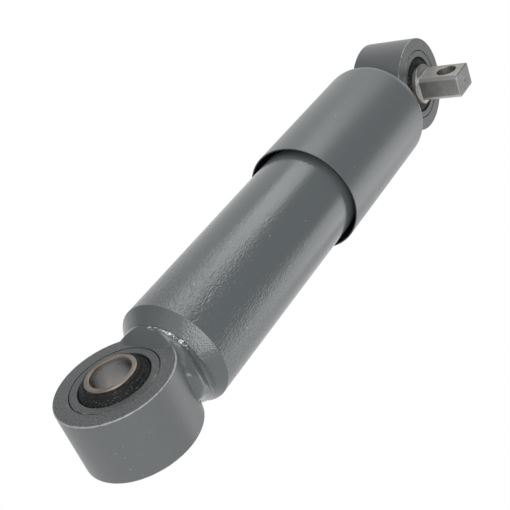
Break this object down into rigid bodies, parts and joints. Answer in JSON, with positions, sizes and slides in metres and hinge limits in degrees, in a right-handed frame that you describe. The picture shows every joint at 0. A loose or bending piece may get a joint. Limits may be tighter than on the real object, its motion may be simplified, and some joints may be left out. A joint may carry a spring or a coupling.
{
  "type": "shock absorber",
  "caption": "Telescopic twin-tube shock absorber with a dust tube, a bushed eye at one end and a bar pin through the eye at the other.",
  "frame": {"origin": "centre of the lower eye's bore", "axes": "+Z along the damper to the upper eye, +X along the lower bore, +Y along the bar pin"},
  "size_m": [0.079, 0.112, 0.433],
  "materials": {
    "body_paint": "semi-gloss slate grey paint with a fine orange peel",
    "rubber": "moulded black rubber, matt",
    "sleeve_steel": "bare steel, lightly browned",
    "pin_steel": "forged and plated steel, yellowish at the edges",
    "rod_chrome": "ground and hard-chromed",
    "plain_steel": "plain bright steel",
    "sintered_iron": "sintered iron, fine grain",
    "band_plastic": "filled sliding plastic"
  },
  "bodies": {
    "lower_sleeve": {"lower_inner_sleeve": "sleeve_steel"},
    "reservoir": {"lower_eye": "body_paint", "lower_bush_outer_sleeve": "body_paint", "lower_bush_rubber": "rubber", "lower_eye_weld": "body_paint", "base_cap": "body_paint", "reservoir_tube": "body_paint", "base_valve_body": "sintered_iron", "base_valve_discs": "plain_steel", "base_valve_bolt": "plain_steel", "base_valve_nut": "plain_steel", "base_valve_collar": "plain_steel", "foot_intake_spring": "plain_steel", "pressure_tube": "plain_steel", "rod_guide": "sintered_iron", "guide_bush": "plain_steel", "guide_o_ring": "rubber", "rod_seal": "rubber", "seal_garter_spring": "plain_steel", "seal_retainer": "plain_steel"},
    "foot_intake_plate": {"foot_intake_plate": "plain_steel"},
    "piston_band": {"piston_band": "band_plastic"},
    "rod": {"piston_rod": "rod_chrome", "piston": "sintered_iron", "piston_rebound_discs": "plain_steel", "piston_backing_washer": "plain_steel", "piston_nut": "plain_steel", "piston_check_spring": "plain_steel", "piston_support_washer": "plain_steel", "rebound_cushion": "rubber", "dust_tube": "body_paint", "dust_cap": "body_paint", "rod_cap_weld": "plain_steel", "upper_eye_weld": "body_paint", "upper_eye": "body_paint", "upper_bush_outer_sleeve": "body_paint", "upper_bush_rubber": "rubber"},
    "piston_check_plate": {"piston_check_plate": "plain_steel"},
    "bar_pin": {"bar_pin": "pin_steel"}
  },
  "joints": [
    {"name": "lower_bush_twist", "type": "hinge", "parent": "lower_sleeve", "child": "reservoir", "pos_m": [0, 0, 0], "axis": [1, 0, 0], "range_deg": [-12, 12], "stiffness_Nm_per_rad": 80},
    {"name": "rod_slide", "type": "slide", "parent": "reservoir", "child": "piston_band", "axis": [0, 0, -1], "range_m": [0, 0.09], "stiffness_N_per_m": 1200, "springref_m": -0.105},
    {"name": "rod_spin", "type": "hinge", "parent": "piston_band", "child": "rod", "pos_m": [0, 0, 0.175], "axis": [0, 0, 1], "continuous": true},
    {"name": "upper_bush_twist", "type": "hinge", "parent": "rod", "child": "bar_pin", "pos_m": [0, 0, 0.363], "axis": [0, 1, 0], "range_deg": [-12, 12], "stiffness_Nm_per_rad": 80},
    {"name": "piston_check_lift", "type": "slide", "parent": "rod", "child": "piston_check_plate", "axis": [0, 0, 1], "range_m": [0, 0.001], "stiffness_N_per_m": 500, "springref_m": -0.002, "deforming": ["piston_check_spring"]},
    {"name": "foot_intake_lift", "type": "slide", "parent": "reservoir", "child": "foot_intake_plate", "axis": [0, 0, 1], "range_m": [0, 0.001], "stiffness_N_per_m": 500, "springref_m": -0.002, "deforming": ["foot_intake_spring"]}
  ]
}
